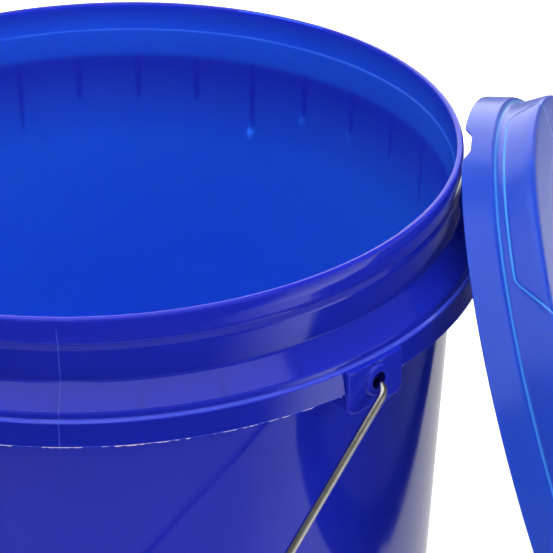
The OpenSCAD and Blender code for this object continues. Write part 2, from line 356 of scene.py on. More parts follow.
def warp(z, angle):
    """How far (mm) cooling pulled the tub out of round: nothing at the foot, most at the rim."""
    return blend01(z, 0, HEIGHT) * WARP * (np.sin(2 * angle + 0.7) + 0.4 * np.sin(5 * angle + 2.0))


def from_depth(corners):
    """Corners given as radius, depth below the rim and rounding, as radius, height and rounding."""
    return [(r, HEIGHT - depth, rounding) for r, depth, rounding in corners]


outside = [(0, 4, 0), (121.3, 4, 0.8), (122.3, 0, 0.8), (wall_r(HEIGHT), 0, 3)] + from_depth([
    (wall_r(28.6), 28.6, 0.8), (156.3, 35.0, 0.8), (156.9, 38.4, 0.5), (158.4, 38.9, 0.5),
    (159.7, 46.7, 0.35), (161.3, 46.7, 0.45), (161.22, 45.9, 0), (160.36, 37.9, 0),
    (160.3, 37.3, 0.3), (159.8, 36.75, 0.4), (158.5, 36.55, 0.35), (158.3, 34.7, 0.4),
    (157.9, 33.9, 0.5), (157.2, 33.3, 0.8),
    (149.6, 26.75, 0.9), (148.9, 25.9, 0.9), (149.5, 14.2, 0.35), (149.4, 13.3, 0.4),
    (148.75, 11.4, 0.4), (148.9, 10.3, 0.35), (149.75, 9.2, 0.35), (150.0, 8.7, 0.5),
])
mouth = from_depth([
    (150.35, 4.6, 9), (149.85, 0, 1.6), (147.15, 0, 1.1), (146.95, 12.5, 0.5), (146.5, 13.3, 0.6)])
inside = [(146.5 - TAPER * (d - 13.3), HEIGHT - d, 0) for d in range(24, 72, 3)]
inside += [(wall_r(HEIGHT) - WALL_T, 6.6, 7), (0, 6.6, 0)]
tub_line = divided(rounded(outside + mouth + inside, 3), 14)
is_inner = np.arange(len(tub_line)) > int(np.argmax(tub_line[:, 1]))


def tub_shape(r, z, angle):
    """Shrink dents behind the gussets, the skirt's openings behind the ears, and a little warp."""
    depth = HEIGHT - z
    inner_wall = (is_inner & (tub_line[:, 0] > 125))[:, None] & (depth > 20)
    for i in GUSSETS_MADE:
        end = 58 if i in LONG_GUSSETS else 47
        dent = np.exp(-((off_gusset(angle, i) * INNER_R / 1.5) ** 2))
        dent = dent * blend01(depth, 24, 32) * (1 - blend01(depth, end - 5, end + 3))
        r = r + np.where(inner_wall, 0.14 * dent, 0)
    beside_ear = np.abs(RIM_R * np.sin(angle))
    lifted = (1 - blend01(beside_ear, 7.5, 10.5)) * (r > 157.5) * (~is_inner)[:, None]
    z = z + lifted * np.clip(depth - 39.6, 0, None)
    return r + warp(z, angle) * (r > 20), z


# Painted glow at sink marks, where a gusset's foot makes the wall thick: gusset number, and how much lighter
# its spot is painted.
SINK_SPOT_GLOW = {10: 0.9, 9: 0.6, 8: 0.3, 20: 0.7, 27: 0.5}
# Painted shade on the inner wall at depths (mm) below the rim.
COLLAR_DEPTHS = [0, 9, 12, 15, 24, 27.5, 50, 70]
COLLAR_SHADE = [0.85, 0.85, 0.1, 0.3, 0.3, 1.0, 0.45, 0]


def painted_light_on_tub(co):
    """Painted shade at each point of the tub, where the wall behind would keep light out; below 0, painted
    glow where light would gather.
    """
    depth, angle = HEIGHT - co[:, 2], np.arctan2(co[:, 1], co[:, 0])
    radius = np.hypot(co[:, 0], co[:, 1])
    inner = radius < 147.4 - TAPER * np.clip(depth - 13, 0, None)
    # Painted shade of the collar, which stands behind the upper wall: darkest where the shoulder meets it,
    # fading out below.
    painted_light = np.interp(depth, COLLAR_DEPTHS, COLLAR_SHADE) * inner
    for i in GUSSETS_MADE:
        end = 60 if i in LONG_GUSSETS else 48
        off = off_gusset(angle, i)
        # Painted shade along each gusset, behind the inner wall.
        line = np.exp(-((off * INNER_R / 1.1) ** 2))
        painted_light += 0.5 * inner * line * blend01(depth, 26, 29) * (1 - blend01(depth, end - 2, end + 1))
        # A painted glow at the sink mark below the gusset's foot.
        spot = np.exp(-(((off * INNER_R - 1.2) / 1.6) ** 2) - ((depth - end) / 2.6) ** 2)
        painted_light -= SINK_SPOT_GLOW.get(i, 0) * 1.6 * inner * spot
        # Outside, a faint line of painted shade where the gusset stands behind the sloping shoulder.
        faint = np.exp(-((off * SHOULDER_R / 0.9) ** 2))
        painted_light += 0.4 * ~inner * faint * blend01(depth, 26.5, 28) * (1 - blend01(depth, 33, 34.5))
    # Painted shade on the outside of the skirt and the neck, where less light comes through than elsewhere.
    skirt = (depth > 37.5) & (depth < 46.5) & (radius > 159)
    neck = (depth > 13) & (depth < 26) & (radius > 148)
    painted_light += ~inner * (0.3 * skirt + 0.15 * neck)
    # Painted glow on the small ledge under the shoulder and on the skirt's foot, which are thin, where light
    # gathers.
    painted_light -= 0.35 * ~inner * (radius > 158.3) * np.exp(-(((depth - 36.8) / 0.35) ** 2))
    painted_light -= 0.35 * ~inner * (radius > 159.9) * np.exp(-(((depth - 46.6) / 0.4) ** 2))
    return painted_light


points, faces = turned(tub_line, TURNS, tub_shape)
tub = piece("bucket_tub", points, faces, "bucket", polypropylene)
tub.data.materials.append(polypropylene_inside_painted_glow)
shade = tub.data.attributes.new("painted_shade_and_glow", "FLOAT", "POINT")
shade.data.foreach_set(
    "value", painted_light_on_tub(np.array([v.co for v in tub.data.vertices]) / MM).astype(np.float32))
# Faces inside the wall take the paler copy of the plastic, a painted glow.
for face in tub.data.polygons:
    middle = face.center / MM
    if math.hypot(middle.x, middle.y) < 147.3 - TAPER * max(0, HEIGHT - 13 - middle.z) and middle.z > 5:
        face.material_index = 1
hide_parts("bucket")

# %% [markdown]
# Each gusset is a thin web between the wall and the skirt. Every fourth one runs further
# down the wall. They are extruded outlines with their edges softened by a bevel, joined
# into one piece because they are one moulding with the tub.


# %% Gussets
def plate_mesh(outline, half_t, angle):
    """An outline (radius, height) made into a plate of thickness 2*half_t, standing at an angle about Z."""
    n = len(outline)
    across = np.array([-math.sin(angle), math.cos(angle), 0])
    along = np.array([math.cos(angle), math.sin(angle), 0])
    up = np.array([0, 0, 1])
    flat = np.array([r * along + z * up for r, z in outline])
    points = np.vstack([flat - half_t * across, flat + half_t * across])
    faces = [list(range(n)), list(range(2 * n - 1, n - 1, -1))]
    faces += [[(i + 1) % n, i, n + i, n + (i + 1) % n] for i in range(n)]
    return points, faces


def joined(meshes):
    """Several (points, faces) as one."""
    all_points, all_faces, start = [], [], 0
    for pts, fcs in meshes:
        all_points.append(np.asarray(pts, float))
        all_faces += [[v + start for v in f] for f in fcs]
        start += len(pts)
    return np.vstack(all_points), all_faces


def soften(made, width_mm):
    """A small bevel on every edge over 30 degrees, before the shading is evened."""
    bevel = made.modifiers.new("soft edges", "BEVEL")
    bevel.width = width_mm * MM
    bevel.segments = 2
    bevel.limit_method = "ANGLE"
    made.modifiers.move(len(made.modifiers) - 1, 0)


gusset_meshes = []
for i in GUSSETS_MADE:
    end = 60 if i in LONG_GUSSETS else 46
    tip = [(wall_r(47) + 1.5, 47.5, 0)] if end > 50 else []
    web = from_depth([
        (wall_r(end) - 0.9, 27.8, 0), (156.8, 34.6, 0), (159.7, 45.5, 0), (158.9, 46, 0), *tip,
        (wall_r(end) - 0.9, end, 0)])
    gusset_meshes.append(plate_mesh([(r, z) for r, z, _ in web], 0.9, i * 2 * math.pi / GUSSETS))
points, faces = joined(gusset_meshes)
gussets = piece("bucket_gussets", points, faces, "bucket", polypropylene)
soften(gussets, 0.25)

# %% [markdown]
# Under the floor, ribs run from a hub to the foot ring and keep the base from bulging.
# They are seen only when the bucket is tipped, but they are part of the moulding.

# %% Ribs under the floor
BASE_RIBS = 8
base_outline = [(12, 0.0), (wall_r(HEIGHT) - 10, 0.0), (wall_r(HEIGHT) - 10, 4.4), (12, 4.4)]
base_meshes = [plate_mesh(base_outline, 1.2, (i + 0.5) * 2 * math.pi / BASE_RIBS) for i in range(BASE_RIBS)]
hub_line = rounded([(0, 0, 0), (16, 0, 0.6), (16, 4.4, 0), (0, 4.4, 0)])
base_meshes.append(turned(hub_line, 96, closed=False))
points, faces = joined(base_meshes)
base_ribs = piece("bucket_base_ribs", points, faces, "bucket", polypropylene)
soften(base_ribs, 0.3)

# %% [markdown]
# The two ears carry the handle. Each is a plate on the collar with rounded lower corners
# and a raised ring about its hole. A plate with a hole is built from rings of points that
# pass smoothly from the round hole to the plate's outline, so the mesh needs no boolean
# cut and its edges can be rounded by adding rings. Last it is bent round the collar.

# %% Ears
EAR_R = SKIRT_R + 1.4
EAR_HALF_W = 14.25
EAR_HOLE_R = 3.4
ear_hole_z = PIVOT.z + EAR_HOLE_R - 1.9
ear_top, ear_low = HEIGHT - 37.1 - ear_hole_z, HEIGHT - 56.0 - ear_hole_z


def ear_outline():
    """The plate's outline about the hole: (across, up), with square-ish top and round lower corners."""
    w = EAR_HALF_W
    corners = [
        (0, ear_low, 0), (w, ear_low, 4.2), (w, ear_top, 0.9), (-w, ear_top, 0.9), (-w, ear_low, 4.2),
        (0, ear_low, 0)]
    return divided(rounded(corners, 8), 1.1)[:-1]


# Share of the way from hole to outline, distance from the hole's edge, and height on the plate.
ear_rings = [
    (0, 0.0, -2.7), (0, 0.0, 1.1), (0, 0.12, 1.36), (0, 0.4, 1.5), (0, 2.5, 1.5), (0, 2.8, 1.38),
    (0, 2.98, 1.1), (0, 3.06, 0.3), (0, 3.25, 0.05), (0, 3.7, 0.0), (0.5, 2.0, 0.0), (1, -0.75, 0.0),
    (1, -0.4, -0.08), (1, -0.12, -0.32), (1, 0.0, -0.7), (1, 0.0, -2.3), (1, -0.35, -2.7),
    (0.5, 1.0, -2.7),
]


def ear_mesh(side):
    """One ear, on the +X side (side 1) or the -X side (side -1)."""
    outline = ear_outline()
    direction = outline / np.linalg.norm(outline, axis=1)[:, None]
    rings = []
    for share, offset, lift in ear_rings:
        flat = direction * EAR_HOLE_R * (1 - share) + outline * share + direction * offset
        radius = EAR_R + lift
        rings.append(np.stack(
            [side * np.sqrt(radius**2 - flat[:, 0] ** 2), side * flat[:, 0], flat[:, 1] + ear_hole_z], -1))
    n, m = len(outline), len(rings)
    faces = []
    for k in range(m):
        for i in range(n):
            a, b = k * n + i, k * n + (i + 1) % n
            c, d = ((k + 1) % m) * n + (i + 1) % n, ((k + 1) % m) * n + i
            faces.append([a, b, c, d])
    return np.vstack(rings), faces


for side, name in ((1, "bucket_ear_right"), (-1, "bucket_ear_left")):
    points, faces = ear_mesh(side)
    piece(name, points, faces, "bucket", polypropylene)

# %% [markdown]
# Behind each ear, two webs tie the plate to the wall, so a full bucket's weight doesn't
# peel it off.

# %% Ear webs
web_outline = [(r, z) for r, z, _ in from_depth([
    (wall_r(56) - 1.2, 28.4, 0), (156.8, 34.6, 0), (160.6, 42.7, 0), (160.6, 54.5, 0),
    (wall_r(56) - 1.2, 54.5, 0)])]
web_meshes = []
for side in (0, math.pi):
    for across in (-1, 1):
        points, faces = plate_mesh(web_outline, 1.0, side)
        points[:, 1] += across * (EAR_HALF_W - 2.6)
        web_meshes.append((points, faces))
points, faces = joined(web_meshes)
webs = piece("bucket_ear_webs", points, faces, "bucket", polypropylene)
soften(webs, 0.3)

# %% [markdown]
# The mould opens in two halves, and molten plastic creeps a few hundredths of a millimetre
# into the gap. That leaves a fine raised seam down the outside, and at the bottom of the
# skirt a thin ragged fin called flash, bent and stress-whitened where it was trimmed. The
# seam is a tiny ridge that follows the section, in a lighter blue that is a painted glow,
# so that it shows. The flash is a ribbon whose height comes from seeded noise, and it is
# left out where the noise is low. Its plastic is nearly white and dull, stress-whitened and
# lighter still as a painted highlight, so it shows as a broken pale line along the skirt's foot.

# %% Mould seam and flash
SEAM_ANGLES = (math.radians(-44.6), math.radians(135.4))
seam_line = rounded(outside + mouth, 4)
seam_line = seam_line[(seam_line[:, 1] > 6) & (seam_line[:, 1] < HEIGHT - 1.8)]
seam_line = seam_line[: int(np.argmax(seam_line[:, 1])) + 1]
SEAM_HALF_W, SEAM_TALL = 0.22, 0.14
shift = SEAM_HALF_W / RIM_R
ridge = [(-shift, -0.02), (0, SEAM_TALL), (shift, -0.02)]
seam_meshes = []
for angle in SEAM_ANGLES:
    pts = []
    for r, z in divided(seam_line, 6):
        for da, dr in ridge:
            out = r + warp(z, angle) + dr
            pts.append((out * math.cos(angle + da), out * math.sin(angle + da), z))
    rows = len(pts) // 3
    fcs = []
    for i in range(rows - 1):
        for k in range(2):
            fcs.append([i * 3 + k, i * 3 + k + 1, i * 3 + 4 + k, i * 3 + 3 + k])
    seam_meshes.append((pts, fcs))
points, faces = joined(seam_meshes)
# The seam's lighter blue is a painted glow.
seam_painted_glow = moulded_plastic("polypropylene_seam_painted_glow", "#2e44bc", "#3c52c8", 0.15, 1.2)
piece("bucket_seams", points, faces, "bucket", seam_painted_glow, weighted=False)

# Whitened where trimmed, and lighter still as a painted highlight.
flash_whitened_painted_highlight = moulded_plastic("polypropylene_flash_whitened_painted_highlight", "#c9cdea", "#f2f2f8", 0.35, 1.2)
rng = np.random.default_rng(7)
FLASH_STEPS, FLASH_WAVES = 2880, 519
FLASH_MEAN, FLASH_SPREAD, FLASH_MOST, FLASH_LEAST = 0.2, 0.16, 0.5, 0.04
spectrum = np.zeros(FLASH_STEPS // 2 + 1, complex)
waves = np.arange(1, FLASH_WAVES + 1)
spectrum[waves] = rng.normal(size=FLASH_WAVES) * np.exp(2j * math.pi * rng.random(FLASH_WAVES))
spectrum[waves] /= 1 + (waves / 160) ** 1.5
rough_edge = np.fft.irfft(spectrum, FLASH_STEPS)
rough_edge /= rough_edge.std()
fin = np.clip(rough_edge * FLASH_SPREAD + FLASH_MEAN, 0, FLASH_MOST)
flash_meshes = []
angles = np.arange(FLASH_STEPS) * 2 * math.pi / FLASH_STEPS
on = fin > FLASH_LEAST
edges = [i for i in range(FLASH_STEPS) if on[i] and not on[i - 1]]
skirt_foot_r, skirt_foot_z = 160.95, HEIGHT - 46.62
for first in edges:
    run = [first]
    while on[(run[-1] + 1) % FLASH_STEPS] and len(run) < FLASH_STEPS:
        run.append(run[-1] + 1)
    if len(run) < 3:
        continue
    pts = []
    for i in run:
        angle, tall = angles[i % FLASH_STEPS], fin[i % FLASH_STEPS]
        # Behind an ear's plate almost no fin is left.
        if abs(SKIRT_R * math.sin(angle)) < EAR_HALF_W + 1.75:
            tall = 0.05
        lean = 0.25 * tall
        for dr, dz in ((-0.08, 0.04), (-0.02 + lean, -tall), (0.05, 0.04)):
            pts.append((
                (skirt_foot_r + dr) * math.cos(angle), (skirt_foot_r + dr) * math.sin(angle),
                skirt_foot_z + dz))
    n = len(run)
    fcs = [[0, 1, 2], [3 * n - 1, 3 * n - 2, 3 * n - 3]]
    for i in range(n - 1):
        for k in range(3):
            a, b = i * 3 + k, i * 3 + (k + 1) % 3
            fcs.append([a, a + 3, b + 3, b])
    flash_meshes.append((pts, fcs))
points, faces = joined(flash_meshes)
piece("bucket_flash", points, faces, "bucket", flash_whitened_painted_highlight, weighted=False)
print("flash in", len(flash_meshes), "runs")

# %% [markdown]
# The handle is drawn steel wire with a galvanised skin. Drawing pulls the wire through a
# die and leaves very fine lines along it, and the zinc greys a little unevenly. Metal has
# no colour under its reflection, so the tint is all in the base colour, and the lines are
# in the roughness and a shallow bump. They run along the wire, so the mesh carries its own
# length and girth as a UV map and the pattern is stretched along it.


# %% Material: drawn galvanised wire
def drawn_wire(name):
    material, tree, surface = new_material(name)
    place = add(tree, "ShaderNodeTexCoord").outputs["UV"]
    # Draw lines are a few hundredths of a millimetre apart, drawn at 0.3 mm so that they show.
    stretched = add(tree, "ShaderNodeMapping", None, {
        "Vector": place, "Scale": (1 / (60 * MM), 1 / (0.3 * MM), 1.0)})
    lines = add(tree, "ShaderNodeTexNoise", None, {
        "Vector": stretched.outputs["Vector"], "Scale": 1.0, "Detail": 3.0})
    # Zinc greys in clouds of a few millimetres.
    clouds = add(tree, "ShaderNodeTexNoise", None, {"Vector": place, "Scale": 1 / (5 * MM), "Detail": 3.0})
    tint = add(tree, "ShaderNodeMix", {"data_type": "RGBA"}, {
        0: clouds.outputs["Fac"], 6: linear("#e2e0da"), 7: linear("#bdb9ae")})
    rough = add(tree, "ShaderNodeMapRange", None, {
        "Value": lines.outputs["Fac"], "From Min": 0.3, "From Max": 0.7, "To Min": 0.08, "To Max": 0.2})
    grooves = add(tree, "ShaderNodeBump", None, {
        "Height": lines.outputs["Fac"], "Strength": 0.2, "Distance": 0.02 * MM})
    dings = add(tree, "ShaderNodeBump", None, {
        "Height": clouds.outputs["Fac"], "Strength": 0.25, "Distance": 0.04 * MM,
        "Normal": grooves.outputs["Normal"]})
    steel = add(tree, "ShaderNodeBsdfPrincipled", None, {
        "Base Color": tint.outputs[2], "Metallic": 1.0, "Roughness": rough.outputs["Result"],
        "Normal": dings.outputs["Normal"]})
    tree.links.new(steel.outputs["BSDF"], surface)
    return material


steel_wire = drawn_wire("steel_wire_drawn_galvanised")
print("material", steel_wire.name)

# %% [markdown]
# The handle is one length of 3.5 mm wire. Each end hooks into an ear, turns out through
# the hole and down, and the two legs meet in a wide bow. A tube is swept along that path.
# Where the path bends, a frame that is carried along without twisting keeps the draw lines
# straight. It could be a curve with a bevel, but a mesh lets the cut ends be chamfered and
# the UV map hold real lengths.

# %% The bail's path
WIRE_R = 1.75
HANG = math.radians(45)
LEG_X, EXIT_BEND, TAIL_BEND = 168.0, 4.5, 3.0
BOW_R, BOW_MID = 116.0, 52.0
DROP = math.hypot(GRIP_CENTRE.y - PIVOT.y, GRIP_CENTRE.z - PIVOT.z)
TAIL_X, TAIL_L = RIM_R + 4, 3.2


def arc(cx, cz, radius, start, end, steps):
    """Points of an arc in the handle's own plane, angles in degrees from +X towards +Z."""
    return [
        (cx + radius * math.cos(math.radians(a)), cz + radius * math.sin(math.radians(a)))
        for a in np.linspace(start, end, steps)]


def straight(x0, z0, x1, z1, step=4.0):
    """Points along a line, its first left out."""
    parts = max(1, int(math.hypot(x1 - x0, z1 - z0) / step))
    return [(x0 + (x1 - x0) * k / parts, z0 + (z1 - z0) * k / parts) for k in range(1, parts + 1)]


leg_low = -(DROP - BOW_R)
half = [(TAIL_X, TAIL_BEND + TAIL_L)] + straight(TAIL_X, TAIL_BEND + TAIL_L, TAIL_X, TAIL_BEND, 1.0)
half += arc(TAIL_X + TAIL_BEND, TAIL_BEND, TAIL_BEND, 180, 270, 12)[1:]
half += straight(TAIL_X + TAIL_BEND, 0, LEG_X - EXIT_BEND, 0, 1.5)
half += arc(LEG_X - EXIT_BEND, -EXIT_BEND, EXIT_BEND, 90, 0, 16)[1:]
half += straight(LEG_X, -EXIT_BEND, LEG_X, leg_low)
half += arc(BOW_MID, leg_low, BOW_R, 0, -90, 110)[1:]
half += straight(BOW_MID, -DROP, 0, -DROP)
path_2d = half + [(-x, z) for x, z in reversed(half[:-1])]
swing = np.array([[1, 0, 0], [0, math.cos(-HANG), -math.sin(-HANG)], [0, math.sin(-HANG), math.cos(-HANG)]])
path = np.array([[x, 0, z] for x, z in path_2d]) @ swing.T + np.array(PIVOT)
print(
    "wire length", round(float(np.linalg.norm(np.diff(path, axis=0), axis=1).sum())), "mm in", len(path),
    "points")

# %% [markdown]
# The wire's mesh is made of rings of points, square to the path at every step. Each point
# also gets its real length along the wire and round it, for the draw lines.


# %% The bail
def swept(path, radius, around, chamfer):
    """A tube along a flat path, its ends chamfered: points, faces, and (length, girth) at each point."""
    along = np.gradient(path, axis=0)
    along /= np.linalg.norm(along, axis=1)[:, None]
    side = swing @ np.array([0, 1, 0])
    out = np.cross(along, side)
    turn = np.arange(around) * 2 * math.pi / around
    radii = [0.35 * radius, radius - chamfer] + [radius] * len(path) + [radius - chamfer, 0.35 * radius]
    where = [0, 0] + list(range(len(path))) + [len(path) - 1] * 2
    slip = [-chamfer, -chamfer] + [0] * len(path) + [chamfer, chamfer]
    length = np.concatenate([[0], np.cumsum(np.linalg.norm(np.diff(path, axis=0), axis=1))])
    points, uv = [], []
    for rad, i, s in zip(radii, where, slip):
        for a in turn:
            points.append(path[i] + along[i] * s + rad * (math.cos(a) * out[i] + math.sin(a) * side))
            uv.append((length[i] * MM, abs((a / math.pi + 1) % 2 - 1) * math.pi * radius * MM))
    rows = len(radii)
    faces = []
    for i in range(rows - 1):
        for k in range(around):
            faces.append([
                i * around + k, i * around + (k + 1) % around, (i + 1) * around + (k + 1) % around,
                (i + 1) * around + k])
    faces.append(list(range(around - 1, -1, -1)))
    faces.append([(rows - 1) * around + k for k in range(around)])
    return np.array(points), faces, uv


points, faces, wire_uv = swept(path, WIRE_R, 32, 0.25)
bail = piece("bail_wire", points, faces, "bail", steel_wire)
layer = bail.data.uv_layers.new(name="along_and_around")
for loop in bail.data.loops:
    layer.data[loop.index].uv = wire_uv[loop.vertex_index]
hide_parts("bail")

# %% [markdown]
# The grip is a moulded plastic tube that turns on the wire, with shallow rolls that the
# fingers sit on. It is turned about the wire's middle stretch. Its plastic is the bucket's
# blue with a finer, duller skin, so that a wet hand holds it.

# %% The grip
polypropylene_satin = moulded_plastic(
    "polypropylene_moulded_satin", "#1020a0", "#1626aa", 0.3, 1.2, wave_mm=25, rub=0.12)
GRIP_L, GRIP_R, ROLLS = 98.0, 11.5, 5
grip_line = [(WIRE_R + 0.07, 0, 0.2), (GRIP_R - 0.6, 0, 1.2), (GRIP_R, 1.6, 1.5), (GRIP_R, 3.8, 0.4)]
roll_l = (GRIP_L - 8) / ROLLS
for i in range(ROLLS):
    for s in np.linspace(0, 1, 13):
        grip_line.append((
            GRIP_R - 1.5 + 0.8 * math.sin(math.pi * s), 4 + i * roll_l + 0.5 + (roll_l - 1) * s, 0.3))
grip_line += [
    (GRIP_R, GRIP_L - 3.8, 0.4), (GRIP_R, GRIP_L - 1.6, 1.5), (GRIP_R - 0.6, GRIP_L, 1.2),
    (WIRE_R + 0.07, GRIP_L, 0.2)]
grip_section = rounded(grip_line, 3)
grip_in = Matrix.Translation(GRIP_CENTRE + Vector((-GRIP_L / 2, 0, 0))) @ Matrix.Rotation(math.pi / 2, 4, "Y")


def grip_shape(r, z, angle):
    """Two fine mould seams along the grip."""
    off = np.abs(np.sin(angle))
    seam = np.exp(-((off * GRIP_R / 0.25) ** 2))
    return r + np.where(r > 8, 0.1 * seam, 0), z


points, faces = turned(grip_section, 240, grip_shape)
grip = piece("grip_tube", points, faces, "grip", polypropylene_satin, grip_in)
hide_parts("grip")

# %% [markdown]
# The lid is moulded from a softer plastic, polyethylene, so that its rim can stretch over
# the lip. It is lighter, satin rather than glossy, and lets more light through. Its place
# comes from the gasket that the frame holds: the ring's flattest direction is the lid's
# axis, and its middle is the lid's centre.

# %% Where the lid leans
ring = np.array([v.co for v in frame["nodes"]["lid_gasket"].data.vertices]) / MM
low, high = ring.min(0), ring.max(0)
centre = (low + high) / 2
axis = np.linalg.svd(ring - ring.mean(0), full_matrices=False)[2][2]
axis *= np.sign(axis[:2] @ centre[:2])
heights = (ring - centre) @ axis
GASKET_MIDDLE = 25.5
LID_TURN = math.radians(10.5)
origin = centre + axis * ((heights.min() + heights.max()) / 2 - GASKET_MIDDLE)
downhill = -np.array([0, 0, 1]) + axis * axis[2]
downhill /= np.linalg.norm(downhill)
lid_in = Matrix([
    [downhill[k], np.cross(axis, downhill)[k], axis[k], origin[k]] for k in range(3)
] + [[0, 0, 0, 1]]) @ Matrix.Rotation(LID_TURN, 4, "Z")
print("lid tilted", round(math.degrees(math.asin(axis[2])), 1), "degrees, centre", origin.round(1))

# %% [markdown]
# The lid's section has the flared skirt, the crown that holds the gasket, and a sunk
# middle panel. Four wide pads stand out a little on the crown's side, and the free edge
# has four notches where fingers start to pry it off. Both are shallow, so the turned mesh
# is simply moved there, with smooth edges.

# %% The lid
# Its darker and lighter blues are painted shade and painted glow, picked by the mesh.
polyethylene = moulded_plastic(
    "polyethylene_moulded_satin", "#1438a0", "#1c42ac", 0.2, 3.0, (0.2, 0.5, 1.0), wave_mm=45, rub=0.1,
    shaded=("#102c90", "#5ab0f0"), outlined=True)
LID_R, LID_H, LID_T = 159.0, 28.4, 1.6
CROWN_R, PLUG_R, PANEL = RIM_R + 1.9, RIM_R - 4.2, 20.4
SKIRT_TOP = np.array([155.0, 11.6])
PADS, NOTCH_OFF, PAD_OFF = 4, math.radians(-7), math.radians(2.6)
WELL_R, PLUG_LOW = 128.0, 15.8
LID_TURNS = 576
# More rows than the shape needs, so that the pads' soft edges are smooth.
crown_rows = [*np.arange(14, 18, 0.5), *np.arange(18, 25, 1.0)]
lid_corners = [
    (0, PANEL + 1.2 - LID_T, 0), (97.2, PANEL + 1.2 - LID_T, 0.8), (98.8, PANEL - LID_T, 0.8),
    (WELL_R + LID_T, PANEL - LID_T, 1.2), (WELL_R + LID_T, LID_H - LID_T, 0.8),
    (PLUG_R - LID_T, LID_H - LID_T, 0.8), (PLUG_R - LID_T, PLUG_LOW, 0.6), (PLUG_R, PLUG_LOW, 0.6),
    (PLUG_R, LID_H - LID_T, 0.4), (150.3, LID_H - LID_T, 0.5), (150.3, 15, 0.4), (149.3, 13.5, 0.5),
    (149.8, 12.5, 0.5), (150.3, 11.5, 0.5), (150.5, 1.2, 0.5), (152.0, 1.2, 0.5), (152.0, 10.1, 0.6),
    (153.7, 10.1, 0.6), (157.4, 0.2, 0.3), (158.2, -0.02, 0.35), (158.95, 0.35, 0.35),
    (155.4, 11.0, 0.5), (155.0, 11.6, 0.4), (154.2, 12.0, 0.4), (152.8, 12.3, 0.6), (CROWN_R, 13.2, 0.7),
] + [(CROWN_R - 0.4 * (z - 13.2) / 15.2, z, 0) for z in crown_rows] + [
    (CROWN_R - 0.4, LID_H, 3.5), (WELL_R + 0.2, LID_H, 2.0), (WELL_R, PANEL, 1.6),
    (99.5, PANEL, 0.8), (98.0, PANEL + 1.2, 0.8), (0, PANEL + 1.2, 0),
]
lid_line = divided(rounded(lid_corners, 3), 3.5)
lid_line = np.array([
    p for i, p in enumerate(lid_line) if not (0 < i < len(lid_line) - 1 and p[0] < 120 and i % 4)])
outer_side = np.zeros(len(lid_line), bool)
top_row = int(np.argmax(lid_line[:, 0]))
outer_side[top_row:] = True
flare_row = top_row - int(np.argmax(lid_line[top_row::-1, 1] > 9.5))


def inside_pad(z, angle):
    """Distance (mm) in from the outline of the nearest pad; below 0 is outside it."""
    step = 2 * math.pi / PADS
    side = np.abs(((angle - PAD_OFF + step / 2) % step - step / 2) * CROWN_R)
    half = 52 + 18 * np.clip((z - 15) / (LID_H - 15), 0, 1)
    rounding = np.clip(2.5 - (half - side), 0, 2.5) ** 2 + np.clip(2.5 - (z - 15.0), 0, 2.5) ** 2
    return np.minimum(np.minimum(half - side, z - 15.0), 2.5 - np.sqrt(rounding))


def lid_shape(r, z, angle):
    """Pads on the crown's side and pry notches in the free edge."""
    step = 2 * math.pi / PADS
    crown = outer_side[:, None] & (r > 150.5) & (z > 12)
    r = r + np.where(
        crown, 0.7 * blend01(inside_pad(z, angle), 0, 2.0) * (1 - blend01(z, 26.2, 27.4) * 0.5), 0)
    notch_side = np.abs(((angle - NOTCH_OFF + step / 2) % step - step / 2) * LID_R)
    raised = 3.2 * (1 - blend01(notch_side, 5, 15.5)) / SKIRT_TOP[1]
    skirt = (np.arange(len(lid_line)) >= flare_row)[:, None] & (r > 153) & (z < SKIRT_TOP[1])
    r = r + np.where(skirt, (SKIRT_TOP[0] - r) * raised * (1 - blend01(z, 9, 11.6)), 0)
    z = z + np.where(skirt, (SKIRT_TOP[1] - z) * raised, 0)
    return r, z


points, faces = turned(lid_line, LID_TURNS, lid_shape)
lid = piece("lid_shell", points, faces, "lid", polyethylene, lid_in)
# Painted glow along the pads' thin outline, and a painted highlight in the fold at the foot of the crown,
# where light gathers.
at = np.array([lid_in.inverted() @ (v.co / MM) for v in lid.data.vertices])
at_r, at_angle = np.hypot(at[:, 0], at[:, 1]), np.arctan2(at[:, 1], at[:, 0])
on_crown = (at_r > 150.9) & (at[:, 2] > 13.4) | (at[:, 2] > 27.5)
inset = np.where(on_crown, np.clip(inside_pad(at[:, 2], at_angle) - 0.8, -6, 6), -6)
lid.data.attributes.new("pad_inset", "FLOAT", "POINT").data.foreach_set("value", inset.astype(np.float32))
fold = np.exp(-(((at_r - 153.0) / 0.5) ** 2) - ((at[:, 2] - 12.3) / 0.4) ** 2)
lid.data.attributes.new("painted_shade_and_glow", "FLOAT", "POINT").data.foreach_set(
    "value", (-0.55 * fold).astype(np.float32))
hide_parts("lid")

# %% [markdown]
# Short ribs under the lid's flat ring tie the panel's wall to the plug, so the ring can't
# buckle when the lid is pressed on.

# %% Ribs under the lid
LID_RIBS = 24
rib_outline = [
    (WELL_R + LID_T - 0.4, PANEL - LID_T + 0.4), (PLUG_R - LID_T + 0.4, PANEL - LID_T + 0.4),
    (PLUG_R - LID_T + 0.4, LID_H - LID_T + 0.4), (WELL_R + LID_T - 0.4, LID_H - LID_T + 0.4),
]
rib_meshes = [plate_mesh(rib_outline, 0.7, (i + 0.5) * 2 * math.pi / LID_RIBS) for i in range(LID_RIBS)]
points, faces = joined(rib_meshes)
lid_ribs = piece("lid_ribs", points, faces, "lid", polyethylene, lid_in)
soften(lid_ribs, 0.2)

# %% [markdown]
# A ring of pale foam rubber sits in the crown's channel and seals on the lip. Foam is
# matt because each cut cell is a tiny pit. The cells are about 0.3 mm across and are drawn
# at 0.8 mm so that they show.

